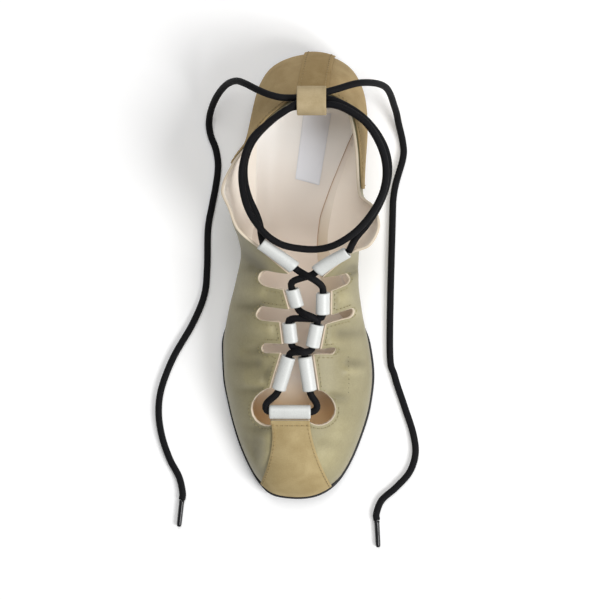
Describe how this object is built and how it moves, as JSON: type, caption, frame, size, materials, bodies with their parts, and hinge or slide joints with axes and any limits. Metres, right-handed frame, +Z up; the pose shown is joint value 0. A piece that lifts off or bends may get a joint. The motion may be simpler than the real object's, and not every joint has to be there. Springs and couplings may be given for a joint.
{
  "type": "lace-up flat shoe",
  "caption": "Soft leather flat for the right foot with slit lacing tabs, white lace tunnels, suede toe and heel panels and a long black cord lace through a heel loop.",
  "frame": {"origin": "on the floor under the middle of the shoe's box, measured without the loose lace", "axes": "+X towards the inner side of the foot, +Y towards the heel, +Z up from the floor"},
  "size_m": [0.1466, 0.2758, 0.0678],
  "materials": {
    "rubber": "matte black sole rubber",
    "nude_leather": "smooth nude lining leather",
    "olive_satin": "soft olive leather with a satin sheen",
    "tan_suede": "tan suede",
    "white_leather": "smooth white leather, slightly glossy",
    "black_cord": "round braided black cord",
    "black_plastic": "black lace tips"
  },
  "bodies": {
    "root": {"outsole": "rubber", "insole": "nude_leather", "upper": "olive_satin", "toe_patch": "tan_suede", "heel_counter": "tan_suede", "heel_strip_loop": "tan_suede", "lace_tunnel_toe": "white_leather", "lace_tunnel_lateral_1": "white_leather", "lace_tunnel_lateral_2": "white_leather", "lace_tunnel_lateral_3": "white_leather", "lace_tunnel_lateral_4": "white_leather", "lace_tunnel_medial_1": "white_leather", "lace_tunnel_medial_2": "white_leather", "lace_tunnel_medial_3": "white_leather", "lace_tunnel_medial_4": "white_leather", "lace_crossing_1": "black_cord", "lace_crossing_2": "black_cord", "lace_crossing_3": "black_cord", "lace_turn_lateral": "black_cord", "lace_turn_medial": "black_cord", "lace_wrap": "black_cord", "lace_wrap_aglet": "black_plastic", "lace_side": "black_cord", "lace_side_aglet": "black_plastic"}
  },
  "joints": []
}
